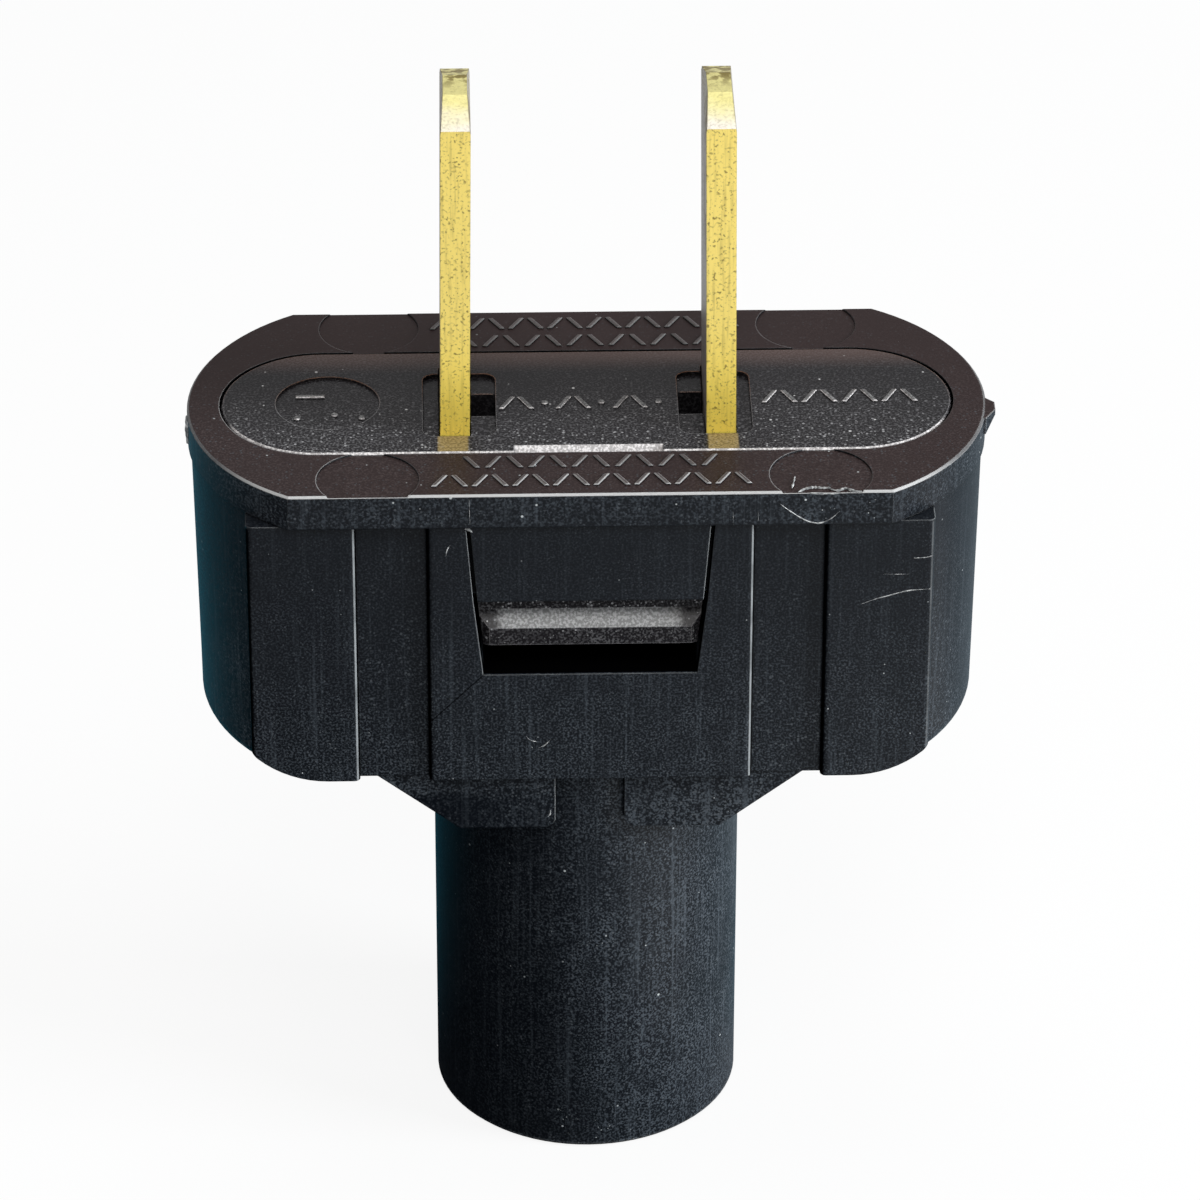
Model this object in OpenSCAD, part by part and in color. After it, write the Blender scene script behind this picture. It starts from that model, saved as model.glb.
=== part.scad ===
// Two-blade mains plug, type A, with a snap-in blade carrier.
// The origin is the centre of the neck's flat end, the blades point up, and the spacing runs along X.

/* [Blades] */
// Spacing between the middles of the two blades
blade_pitch = 12.7; // [12:0.1:13.4]
// Width of a blade, front to back
blade_w = 6.35; // [5.6:0.05:7]
// Thickness of a blade
blade_t = 1.42; // [1.3:0.02:1.7]
// Height of a blade's tip above the face
blade_reach = 17.15; // [15.8:0.05:18.2]
// How far a blade's tip stands nearer to the other blade than its foot does
blade_lean = 0.17; // [0:0.01:0.3]
// Depth of the cut at each corner of the tip, front to back
nose_run = 2.2; // [0.6:0.1:2.6]
// Height of the cut at each corner of the tip
nose_rise = 0.8; // [0.5:0.1:1.8]
// Height of the bevels on the two broad sides of the tip
bevel_rise = 1; // [0.4:0.1:1.4]
// Thickness left at the end of the tip
tip_t = 1.15; // [0.6:0.05:1.25]
// Width of the shoulder that stops a blade from being pulled out
shoulder_w = 7.9; // [7.4:0.1:8.4]
// Height of the shoulder
shoulder_h = 1.6; // [1:0.1:2.4]
// Width of the terminal tab below the shoulder
tab_w = 7; // [6.6:0.1:7.4]
// Height of the terminal tab below the shoulder
tab_h = 5.2; // [4.6:0.1:5.6]

/* [Housing] */
// Length of the rim
rim_w = 38.4; // [37:0.1:41]
// Depth of the rim between its two flats
rim_d = 17.44; // [16.8:0.02:18.6]
// Radius of the round ends of the rim
end_r = 10.15; // [9.6:0.05:10.8]
// Height of the plain band below the face
band_h = 1.8; // [1.2:0.05:2.6]
// Chamfer on the upper edges of the rim and of the carrier
edge_c = 0.1; // [0.05:0.01:0.2]
// Height of the body from its lower edge to the face
body_h = 16.2; // [15:0.1:18]
// Depth of the round ends inside the band
end_step = 0.12; // [0.05:0.01:0.3]
// How much smaller the round ends are at the lower edge than below the band
end_draft = 0.2; // [0.1:0.05:0.5]
// Radius of the round ends' lower edge
foot_r = 0.9; // [0.5:0.1:1.4]
// Depth of the block and the pads inside the rim's flats
panel_depth = 0.27; // [0.15:0.01:0.4]
// Distance of a pad's outer edge from the rim's end
pad_inset = 2.9; // [2.4:0.1:3.6]
// Radius of a pad's lower outer corner
pad_corner_r = 5; // [4:0.1:6]
// Length of that corner along the pad's lower edge
pad_corner_run = 3.7; // [3:0.1:4]
// Radius of the upright edges of the pads and the block
pad_edge_r = 0.3; // [0.15:0.05:0.5]
// Width of the raised block in the middle
block_w = 15.56; // [14:0.02:17]
// Width of the channel on each side of the block
channel_w = 3.32; // [2:0.02:4]
// Depth of the channels below the block and the pads
channel_depth = 0.45; // [0.35:0.01:0.7]
// Thickness of the floor at the bottom of the cavity
floor_t = 1.8; // [1.4:0.1:2.4]

/* [Neck] */
// Diameter of the neck
neck_d = 15.1; // [14:0.1:15.6]
// Length of the neck below the body
neck_l = 22.8; // [18:0.1:30]
// Diameter of the hole for the cord
bore_d = 8.6; // [6:0.1:10]
// Chamfer at the neck's end
neck_c = 0.2; // [0.1:0.05:0.4]

/* [Gusset] */
// Width of the gusset where it meets the body
gusset_top_w = 20.8; // [19:0.1:22]
// Width of the gusset at its lower edge
gusset_foot_w = 12.6; // [11.6:0.1:13.6]
// Height of the gusset
gusset_h = 3.2; // [2.6:0.1:4]
// Depth of the gusset, front to back
gusset_d = 15.7; // [15.5:0.05:16.3]
// Width of the slot in the gusset's middle
slot_w = 3.36; // [2.4:0.02:4.4]
// Radius of the gusset's corners beside the slot
slot_r = 0.5; // [0.2:0.05:0.8]
// Thickness of the funnel's sloping wall
funnel_wall = 1.7; // [1.3:0.1:2.2]

/* [Latch windows] */
// Depth of a window's upper edge below the face
window_drop = 6.08; // [5:0.02:7]
// Height of a window
window_h = 4.12; // [3.4:0.02:4.6]
// Width of a window at its upper edge
window_top_w = 11.14; // [10:0.02:12]
// Width of a window at its lower edge
window_foot_w = 10.24; // [9.4:0.02:11.2]
// Spacing of the two grooves above a window where they meet the band
groove_top_w = 11.6; // [10.8:0.1:12.8]
// Width of a groove
groove_w = 0.2; // [0.12:0.02:0.3]
// Depth of a groove
groove_depth = 0.8; // [0.3:0.05:1.4]

/* [Carrier] */
// Width of the rim's top at each end of the carrier
end_land = 1.55; // [1.3:0.01:1.8]
// Width of the rim's top in front of the carrier and behind it
side_land = 3.88; // [3.7:0.02:4]
// Gap between the carrier and the rim all round
insert_gap = 0.08; // [0.05:0.01:0.2]
// Thickness of the face plate
plate_t = 2.6; // [2.2:0.1:3.2]
// Height of the skirt below the face plate
skirt_h = 3.6; // [2.6:0.1:4.4]
// Thickness of the skirt and of the latch arms
skirt_t = 1.2; // [0.9:0.05:1.3]
// Length of the sunk pocket beside each blade, along the spacing
pocket_w = 3.5; // [3:0.1:4]
// How far the pocket's middle lies inwards of its blade
pocket_shift = 0.22; // [0:0.02:0.4]
// Size of the pocket, front to back
pocket_d = 5.9; // [5:0.1:6.4]
// How far the pocket's middle lies in front of its blade's
pocket_fore = 0.28; // [0:0.02:0.4]
// Depth of the pocket below the face
pocket_depth = 0.2; // [0.1:0.05:0.5]
// Radius of a pocket's corners
pocket_r = 0.6; // [0.3:0.05:1]
// Width of the core hole beside each blade, front to back
core_w = 2.1; // [1.4:0.1:2.4]
// Wall of the collar that holds each blade below the face plate
collar_wall = 1.2; // [0.9:0.05:1.5]
// Clearance round a blade in its slot
blade_gap = 0.06; // [0.03:0.01:0.12]
// Diameter of the sunk disc on the face
disc_d = 5; // [4:0.1:6]
// Distance of the sunk disc from the middle of the face
disc_x = 12.45; // [11.8:0.05:13]
// Depth of the sunk disc
disc_depth = 0.12; // [0.05:0.01:0.3]
// Length of the prying bevel on the face's front edge
pry_w = 7.1; // [5:0.1:9]
// Size of the prying bevel
pry_c = 0.6; // [0.3:0.05:0.9]
// Thickness of the wall between the two wire rooms
partition_t = 1.5; // [1:0.1:2]
// Depth of that wall, front to back
partition_d = 4; // [3:0.1:5]

/* [Latch arms] */
// Depth of a barb's outer face below the block's face
barb_sink = 0.3; // [0.15:0.05:0.8]
// Height of a barb's outer side, from its catch face to its lower edge
barb_h = 2.47; // [2:0.01:2.6]
// Height of the lead-in slope below a barb's outer side
lead_h = 1.25; // [0.8:0.05:1.4]
// Size of the ramp on a barb's upper outer edge
ramp_c = 0.68; // [0.4:0.02:0.9]
// Height of the ramp's outer edge above the barb's lower edge
ramp_rise = 0.93; // [0.5:0.01:1.1]
// Size of the bevels on a barb's two ends
barb_end_c = 0.75; // [0.3:0.05:1]
// Clearance round a barb in its window
barb_gap = 0.15; // [0.1:0.01:0.25]
// Length of a latch arm below its barb
arm_tail = 0.8; // [0.4:0.1:1.2]
// Width of the slit between a latch arm and the skirt
arm_slit_w = 0.6; // [0.4:0.05:0.9]

/* [Terminal screws] */
// Diameter of a screw's shank
screw_d = 3.4; // [2.8:0.1:3.8]
// Length of a screw's shank
screw_l = 4.2; // [3:0.1:4.5]
// Diameter of a screw's head
head_d = 6.2; // [5.4:0.1:6.6]
// Height of a screw's head
head_h = 1.9; // [1.4:0.1:2.4]
// Chamfer at the two ends of a screw
screw_c = 0.4; // [0.2:0.05:0.6]
// Width of the driver slot
driver_w = 0.9; // [0.7:0.05:1.2]
// Depth of the driver slot
driver_depth = 0.9; // [0.6:0.05:1.2]
// Clearance between the shank and its hole
screw_gap = 0.05; // [0.03:0.01:0.1]
// Height of a screw's axis above the lower end of its tab
screw_rise = 2.6; // [2.3:0.1:3]

/* [Moulding marks] */
// Diameter of the ejector marks on the rim
ejector_d = 4.86; // [3.6:0.02:5.4]
// Distance of the ejector marks from the middle, along the rim
ejector_x = 10.7; // [9.5:0.1:12]
// How far the marks' common middle lies to the right
ejector_shift = 0.2; // [0:0.05:0.4]
// Distance of the ejector marks from the middle, front to back
ejector_y = 7.15; // [6.8:0.05:7.4]
// Depth of the ejector marks
ejector_depth = 0.08; // [0.04:0.01:0.15]
// How far the moulding nib stands out from the rim's end
nib_out = 0.4; // [0.2:0.05:0.7]
// Width of the moulding nib
nib_w = 2; // [1:0.1:3]
// Height of the moulding nib where it meets the rim
nib_h = 0.9; // [0.6:0.1:1.6]
// Height of the moulding nib at its tip
nib_tip_h = 0.3; // [0.2:0.05:0.5]
// Distance of the nib's middle in front of the end's middle
nib_y = 1; // [0:0.1:2]
// Depth of the nib's top below the face
nib_drop = 0.05; // [0.02:0.01:0.1]

/* [Hidden] */
$fn = 96;
eps = 0.01;
shell_black = [0.12, 0.13, 0.15];
carrier_grey = [0.22, 0.22, 0.23];
brass = [0.83, 0.68, 0.32];
screw_brass = [0.72, 0.6, 0.34];

// Heights above the neck's end
body_z = neck_l;
face_z = neck_l + body_h;
band_z = face_z - band_h;
plate_z = face_z - plate_t;
collar_z = plate_z - skirt_h;
shoulder_z = collar_z - shoulder_h;
tab_z = shoulder_z - tab_h;
screw_z = tab_z + screw_rise;
cavity_z = body_z + floor_t;
window_z = face_z - window_drop;
gusset_z = body_z - gusset_h;
barb_top_z = window_z - barb_gap;
barb_foot_z = barb_top_z - barb_h;
lead_z = barb_foot_z - lead_h;
arm_z = lead_z - arm_tail;
funnel_z = gusset_z + funnel_wall;

// Half sizes of the housing's plan
end_x = rim_w / 2 - end_r;
flat_y = rim_d / 2;
panel_y = flat_y - panel_depth;
channel_y = panel_y - channel_depth;
pad_x = rim_w / 2 - pad_inset;
insert_r = flat_y - side_land - insert_gap;
insert_x = rim_w / 2 - end_land - insert_gap - insert_r;
cavity_r = insert_r + insert_gap;
barb_y = panel_y - barb_sink;
arm_w = window_foot_w - 4 * barb_gap;

// A block given by its middle in X and Y and its two heights
module slab(size_x, size_y, low, high) {
    translate([-size_x / 2, -size_y / 2, low]) cube([size_x, size_y, high - low]);
}

// Both copies of a shape that the front and the back share
module front_and_back() {
    for (turn = [0, 180]) rotate([0, 0, turn]) children();
}

// Both copies of a shape that the two ends share
module both_ends() {
    children();
    mirror([1, 0, 0]) children();
}

// An outline in X and Z made into a solid that reaches from one depth to another
module across(from_y, to_y) {
    translate([0, to_y, 0]) rotate([90, 0, 0]) linear_extrude(to_y - from_y) children();
}

// A block with its upright edges rounded
module soft_slab(size_x, size_y, radius, low, high) {
    slab(size_x - 2 * radius, size_y, low, high);
    slab(size_x, size_y - 2 * radius, low, high);
    for (side_x = [-1, 1]) for (side_y = [-1, 1])
        translate([side_x * (size_x / 2 - radius), side_y * (size_y / 2 - radius), low])
        cylinder(r = radius, h = high - low, $fn = 32);
}

// A cylinder with a chamfered upper edge
module eased_cylinder(radius, low, high) {
    translate([0, 0, low]) cylinder(r = radius, h = high - edge_c - low);
    translate([0, 0, high - edge_c]) cylinder(r1 = radius, r2 = radius - edge_c, h = edge_c);
}

// A long block with chamfered upper edges
module eased_slab(half_x, half_y, low, high) {
    rotate([90, 0, 90]) translate([0, 0, -half_x]) linear_extrude(2 * half_x) polygon([
        [-half_y, low], [half_y, low], [half_y, high - edge_c], [half_y - edge_c, high],
        [-half_y + edge_c, high], [-half_y, high - edge_c]
    ]);
}

// A flat plate with half-round ends
module stadium(half_x, radius, low, high) {
    slab(2 * half_x, 2 * radius, low, high);
    both_ends() translate([half_x, 0, low]) cylinder(r = radius, h = high - low);
}

// The plain band round the face, with its round ends cut by two flats
module band() {
    intersection() {
        union() {
            slab(2 * end_x, 3 * flat_y, band_z, face_z);
            both_ends() translate([end_x, 0, 0]) eased_cylinder(end_r, band_z, face_z);
        }
        eased_slab(rim_w, flat_y, band_z, face_z);
    }
}

// A round end's profile: a drafted side on a rounded lower edge
module end_profile() {
    top_r = end_r - end_step;
    low_r = top_r - end_draft;
    polygon([
        [0, 0], [low_r - foot_r, 0], [low_r - foot_r, foot_r], [low_r, foot_r],
        [top_r, body_h], [0, body_h]
    ]);
    translate([low_r - foot_r, foot_r]) circle(r = foot_r, $fn = 48);
}

// The body without its pads and block, as deep as the channels' floors
module body_core() {
    intersection() {
        union() {
            slab(2 * end_x, 3 * flat_y, body_z, face_z);
            both_ends() translate([end_x, 0, body_z]) rotate_extrude() intersection() {
                end_profile();
                square([end_r, body_h - band_h]);
            }
        }
        slab(2 * rim_w, 2 * channel_y, body_z - 1, band_z);
    }
}

// The outline of both pads from the front, with the lower outer corners rounded
module pads_outline() {
    corner_x = pad_x - pad_corner_run;
    corner_z = body_z + pad_corner_r;
    inner_x = block_w / 2 + channel_w;
    for (side = [0, 1]) mirror([side, 0]) intersection() {
        translate([inner_x, body_z]) square([pad_x - inner_x, band_z - body_z]);
        union() {
            translate([inner_x, corner_z]) square([pad_x, body_h]);
            translate([0, body_z]) square([corner_x, body_h]);
            translate([corner_x, corner_z]) circle(r = pad_corner_r);
        }
    }
}

// The raised pads and the block between them, on the front and the back
module pads_and_block() {
    pad_w = pad_x - block_w / 2 - channel_w;
    soft_slab(block_w, 2 * panel_y, pad_edge_r, body_z, band_z);
    intersection() {
        both_ends() translate([pad_x - pad_w / 2, 0, 0])
            soft_slab(pad_w, 2 * panel_y, pad_edge_r, body_z, band_z);
        across(-panel_y, panel_y) pads_outline();
    }
}

// The outside of the body: band, round ends, pads and block
module body_outside() {
    band();
    body_core();
    pads_and_block();
}

// Half of the gusset's outline from the front, with a rounded corner beside the slot
module gusset_half() {
    slot_x = slot_w / 2;
    difference() {
        polygon([
            [slot_x, gusset_z], [gusset_foot_w / 2, gusset_z],
            [gusset_top_w / 2, body_z], [slot_x, body_z]
        ]);
        translate([slot_x, gusset_z]) difference() {
            square(2 * slot_r, center = true);
            translate([slot_r, slot_r]) circle(r = slot_r, $fn = 32);
        }
    }
}

// The tapered shoulder between the body and the neck
module gusset() {
    for (side = [0, 1]) mirror([side, 0, 0]) across(-gusset_d / 2, gusset_d / 2) gusset_half();
}

// The round neck with its eased end
module neck() {
    cylinder(d1 = neck_d - 2 * neck_c, d2 = neck_d, h = neck_c);
    translate([0, 0, neck_c]) cylinder(d = neck_d, h = cavity_z - neck_c);
}

// The hollow for the carrier, the funnel below it and the hole for the cord
module inside() {
    funnel_top_x = gusset_top_w / 2 - funnel_wall;
    funnel_foot_x = gusset_foot_w / 2 - funnel_wall;
    stadium(insert_x, cavity_r, cavity_z, face_z + 1);
    intersection() {
        across(-cavity_r, cavity_r) polygon([
            [-funnel_foot_x, funnel_z], [funnel_foot_x, funnel_z],
            [funnel_top_x, cavity_z + eps], [-funnel_top_x, cavity_z + eps]
        ]);
        slab(2 * rim_w, 2 * cavity_r, funnel_z, cavity_z + eps);
    }
    translate([0, 0, -1]) cylinder(d = bore_d, h = cavity_z + 1);
}

// A window's outline from the front, made smaller all round by a gap
module window_outline(gap) {
    top_x = window_top_w / 2 - gap;
    foot_x = window_foot_w / 2 - gap;
    foot_z = window_z - window_h + gap;
    polygon([[-top_x, window_z - gap], [top_x, window_z - gap], [foot_x, foot_z], [-foot_x, foot_z]]);
}

// One latch window, cut right through the wall
module window_hole() {
    across(-rim_d, -insert_r) window_outline(0);
}

// The two fine grooves that run from a window's upper corners to the band
module window_grooves() {
    for (side = [0, 1]) mirror([side, 0, 0])
        across(-rim_d, -(panel_y - groove_depth)) polygon([
            [window_top_w / 2 - groove_w, window_z], [window_top_w / 2, window_z],
            [groove_top_w / 2 + groove_w / 2, band_z], [groove_top_w / 2 - groove_w / 2, band_z]
        ]);
}

// The small lump of moulding waste at the rim's right end, thinner at its tip
module nib() {
    rim_x = rim_w / 2;
    foot_x = rim_x - nib_out / 4;
    tip_x = rim_x + nib_out;
    top_z = face_z - nib_drop;
    intersection() {
        linear_extrude(face_z) polygon([
            [end_x, -nib_y + nib_w / 2], [foot_x, -nib_y + nib_w / 2], [tip_x, -nib_y + nib_w / 4],
            [tip_x, -nib_y - nib_w / 12], [foot_x, -nib_y - nib_w / 2], [end_x, -nib_y - nib_w / 2]
        ]);
        across(-rim_d, rim_d) polygon([
            [end_x, top_z - nib_h], [foot_x, top_z - nib_h], [tip_x, top_z - nib_tip_h],
            [tip_x, top_z], [end_x, top_z]
        ]);
    }
}

module shell() {
    color(shell_black) difference() {
        union() {
            body_outside();
            gusset();
            neck();
            nib();
        }
        inside();
        front_and_back() {
            window_hole();
            window_grooves();
        }
        for (side_x = [-1, 1]) for (side_y = [-1, 1])
            translate([ejector_shift + side_x * ejector_x, side_y * ejector_y, face_z - ejector_depth])
            cylinder(d = ejector_d, h = 1);
    }
}

// The slot that a blade passes through, with its clearance
module blade_slot() {
    translate([blade_pitch / 2, 0, 0])
        slab(blade_t + 2 * blade_gap, blade_w + 2 * blade_gap, collar_z - 1, face_z + 1);
}

// The shallow pocket round a blade's foot, and the core hole at its inner side
module blade_pocket() {
    translate([blade_pitch / 2 - pocket_shift, 0, 0]) {
        translate([0, -pocket_fore, 0])
            soft_slab(pocket_w, pocket_d, pocket_r, face_z - pocket_depth, face_z + 1);
        translate([-pocket_w / 4, 0, 0]) slab(pocket_w / 2, core_w, plate_z - 1, face_z);
    }
}

// The barb on a latch arm: catch face on top, ramp outwards and a lead-in below, with bevelled ends
module barb() {
    root_y = insert_r - skirt_t / 2;
    ramp_y = barb_y - ramp_c;
    edge_z = barb_foot_z + ramp_rise;
    half_w = window_top_w / 2;
    flat_x = half_w - barb_end_c;
    intersection() {
        rotate([90, 0, 90]) translate([0, 0, -half_w]) linear_extrude(2 * half_w) polygon([
            [-root_y, barb_top_z], [-ramp_y, barb_top_z], [-ramp_y, edge_z + ramp_c], [-barb_y, edge_z],
            [-barb_y, barb_foot_z], [-insert_r, lead_z], [-root_y, lead_z]
        ]);
        across(-rim_d, 0) window_outline(barb_gap);
        linear_extrude(face_z) polygon([
            [-half_w, 0], [-half_w, -barb_y + barb_end_c], [-flat_x, -barb_y],
            [flat_x, -barb_y], [half_w, -barb_y + barb_end_c], [half_w, 0]
        ]);
    }
}

// A latch arm with its barb, hanging from the face plate on the front side
module latch_arm() {
    translate([0, -insert_r + skirt_t / 2, 0]) slab(arm_w, skirt_t, arm_z, plate_z + eps);
    barb();
}

// The bevel that a driver blade is pushed under
module pry_bevel() {
    reach = pry_c * sqrt(2);
    translate([0, -insert_r, face_z]) rotate([45, 0, 0])
        cube([pry_w, reach, reach], center = true);
}

// The plate that closes the housing's mouth
module face_plate() {
    eased_slab(insert_x, insert_r, plate_z, face_z);
    both_ends() translate([insert_x, 0, 0]) eased_cylinder(insert_r, plate_z, face_z);
}

module carrier() {
    collar_l = blade_t + 2 * blade_gap + 2 * collar_wall;
    arm_inner = 2 * (insert_r - skirt_t);
    color(carrier_grey) difference() {
        union() {
            face_plate();
            difference() {
                stadium(insert_x, insert_r, collar_z, plate_z + eps);
                stadium(insert_x, insert_r - skirt_t, collar_z - 1, plate_z + 1);
                slab(arm_w + 2 * arm_slit_w, 3 * insert_r, collar_z - 1, plate_z);
            }
            both_ends() translate([blade_pitch / 2, 0, 0])
                slab(collar_l, arm_inner + eps, collar_z, plate_z + eps);
            slab(partition_t, partition_d, arm_z, plate_z + eps);
            front_and_back() latch_arm();
        }
        both_ends() {
            blade_slot();
            blade_pocket();
        }
        translate([-disc_x, 0, face_z - disc_depth]) cylinder(d = disc_d, h = 1);
        pry_bevel();
    }
}

// A blade seen from its broad side: shaft with cut tip corners, shoulder and tab
module blade_side() {
    half_w = blade_w / 2;
    tip_z = face_z + blade_reach;
    polygon([
        [-tab_w / 2, tab_z], [tab_w / 2, tab_z], [tab_w / 2, shoulder_z], [shoulder_w / 2, shoulder_z],
        [shoulder_w / 2, collar_z], [half_w, collar_z], [half_w, tip_z - nose_rise],
        [half_w - nose_run, tip_z], [-half_w + nose_run, tip_z], [-half_w, tip_z - nose_rise],
        [-half_w, collar_z], [-shoulder_w / 2, collar_z], [-shoulder_w / 2, shoulder_z],
        [-tab_w / 2, shoulder_z]
    ]);
}

// A blade seen from its edge, with its lean above the face and the bevels at the tip
module blade_edge() {
    half_t = blade_t / 2;
    tip_z = face_z + blade_reach;
    bevel_z = tip_z - bevel_rise;
    polygon([
        [-half_t, tab_z - 1], [half_t, tab_z - 1], [half_t, face_z], [half_t - blade_lean, bevel_z],
        [tip_t / 2 - blade_lean, tip_z], [-tip_t / 2 - blade_lean, tip_z],
        [-half_t - blade_lean, bevel_z], [-half_t, face_z]
    ]);
}

// One blade, on the right side
module blade() {
    translate([blade_pitch / 2, 0, 0]) difference() {
        intersection() {
            rotate([90, 0, 90]) translate([0, 0, -blade_t]) linear_extrude(2 * blade_t) blade_side();
            across(-shoulder_w, shoulder_w) blade_edge();
        }
        translate([-blade_t, 0, screw_z]) rotate([0, 90, 0])
            cylinder(d = screw_d + 2 * screw_gap, h = 2 * blade_t);
    }
}

module left_blade() {
    color(brass) mirror([1, 0, 0]) blade();
}

module right_blade() {
    color(brass) blade();
}

// One terminal screw, on the right side, with its head outwards
module terminal_screw() {
    seat_x = blade_pitch / 2 + blade_t / 2;
    translate([seat_x, 0, screw_z]) rotate([0, 90, 0]) difference() {
        rotate_extrude() polygon([
            [0, -screw_l], [screw_d / 2 - screw_c, -screw_l], [screw_d / 2, -screw_l + screw_c],
            [screw_d / 2, 0], [head_d / 2, 0], [head_d / 2, head_h - screw_c],
            [head_d / 2 - screw_c, head_h], [0, head_h]
        ]);
        slab(2 * head_d, driver_w, head_h - driver_depth, head_h + 1);
    }
}

module left_terminal_screw() {
    color(screw_brass) mirror([1, 0, 0]) terminal_screw();
}

module right_terminal_screw() {
    color(screw_brass) terminal_screw();
}

shell();
carrier();
left_blade();
right_blade();
left_terminal_screw();
right_terminal_screw();
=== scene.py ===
import math
import random
import bmesh
import bpy
from mathutils import Matrix, Vector


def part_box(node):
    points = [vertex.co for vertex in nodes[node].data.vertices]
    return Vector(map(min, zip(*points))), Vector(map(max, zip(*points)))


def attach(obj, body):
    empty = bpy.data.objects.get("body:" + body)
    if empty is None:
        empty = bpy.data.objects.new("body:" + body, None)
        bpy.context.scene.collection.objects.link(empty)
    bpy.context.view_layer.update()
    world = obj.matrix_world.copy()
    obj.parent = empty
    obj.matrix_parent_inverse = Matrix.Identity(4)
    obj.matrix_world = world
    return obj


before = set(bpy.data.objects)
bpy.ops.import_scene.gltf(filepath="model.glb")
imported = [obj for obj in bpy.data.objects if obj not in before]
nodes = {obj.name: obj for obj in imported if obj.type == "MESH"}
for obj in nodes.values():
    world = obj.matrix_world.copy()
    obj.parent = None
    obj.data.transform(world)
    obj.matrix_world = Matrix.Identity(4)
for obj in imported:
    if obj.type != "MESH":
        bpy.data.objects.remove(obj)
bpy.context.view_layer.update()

mm = 0.001
scene = bpy.context.scene

# places on the part, in mm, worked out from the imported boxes
shellLow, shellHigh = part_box("shell")
faceZ = shellHigh[2] / mm
flatY = shellHigh[1] / mm      # front and back flats of the rim
padY = flatY - 0.27            # pads and middle block
flangeY = 7.85                 # front of the gusset
rimX = -shellLow[0] / mm
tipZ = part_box("left_blade")[1][2] / mm


# small helpers for shader trees
def addNode(tree, kind, values=None, **settings):
    node = tree.nodes.new(kind)
    for name, value in settings.items():
        setattr(node, name, value)
    for socket, value in (values or {}).items():
        if isinstance(value, bpy.types.NodeSocket):
            tree.links.new(value, node.inputs[socket])
        else:
            node.inputs[socket].default_value = value
    return node


def maths(tree, operation, a, b=0.0, clamp=False):
    return addNode(tree, "ShaderNodeMath", {0: a, 1: b}, operation=operation, use_clamp=clamp).outputs[0]


def absolute(tree, value):
    return maths(tree, "ABSOLUTE", value)


def larger(tree, a, b):
    return maths(tree, "MAXIMUM", a, b)


def multiply(tree, *factors):
    result = factors[0]
    for factor in factors[1:]:
        result = maths(tree, "MULTIPLY", result, factor)
    return result


def ramp(tree, factor, low, high, toLow=0.0, toHigh=1.0):
    values = {"Value": factor, "From Min": low, "From Max": high, "To Min": toLow, "To Max": toHigh}
    return addNode(tree, "ShaderNodeMapRange", values, interpolation_type="SMOOTHSTEP").outputs["Result"]


def mixColor(tree, factor, a, b):
    node = tree.nodes.new("ShaderNodeMix")
    node.data_type = "RGBA"
    for index, value in ((0, factor), (6, a), (7, b)):
        if isinstance(value, bpy.types.NodeSocket):
            tree.links.new(value, node.inputs[index])
        else:
            node.inputs[index].default_value = value
    return node.outputs[2]


def noise(tree, vector, scale, detail=2.0):
    values = {"Vector": vector, "Scale": scale, "Detail": detail}
    return addNode(tree, "ShaderNodeTexNoise", values).outputs[0]


def stretched(tree, vector, scale):
    return addNode(tree, "ShaderNodeMapping", {"Vector": vector, "Scale": scale}).outputs[0]


# camera, fitted to the photo on the rim, the neck and the foot of the blades
cameraSettings = {
    "target": Vector((0, 0, 31)) * mm,
    "distance": 326.572 * mm,
    "elevation": 32.054,                   # degrees above the horizon
    "azimuth": -1.530,
    "roll": 0.1428,
    "slide": (0.6606 * mm, -2.8193 * mm),  # to the right and up
    "pixelsFocal": 6704.65,
    "framePixels": 1200,
    "sensor": 36.0,
}


def addCamera(settings):
    azimuth, elevation, roll = (math.radians(settings[key]) for key in ("azimuth", "elevation", "roll"))
    level = math.cos(elevation)
    back = Vector((math.sin(azimuth) * level, -math.cos(azimuth) * level, math.sin(elevation)))
    right = (-back).cross(Vector((0, 0, 1))).normalized()
    up = right.cross(-back)
    turnedRight = math.cos(roll) * right + math.sin(roll) * up
    turnedUp = math.cos(roll) * up - math.sin(roll) * right
    data = bpy.data.cameras.new("photoCamera")
    data.sensor_width = settings["sensor"]
    data.lens = settings["sensor"] * settings["pixelsFocal"] / settings["framePixels"]
    data.clip_start = 0.01
    data.clip_end = 20
    camera = bpy.data.objects.new("photoCamera", data)
    scene.collection.objects.link(camera)
    place = settings["target"] + back * settings["distance"]
    place += turnedRight * settings["slide"][0] + turnedUp * settings["slide"][1]
    turn = Matrix((turnedRight, turnedUp, back)).transposed().to_4x4()
    camera.matrix_world = Matrix.Translation(place) @ turn
    scene.camera = camera


addCamera(cameraSettings)
print("camera placed")


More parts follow.
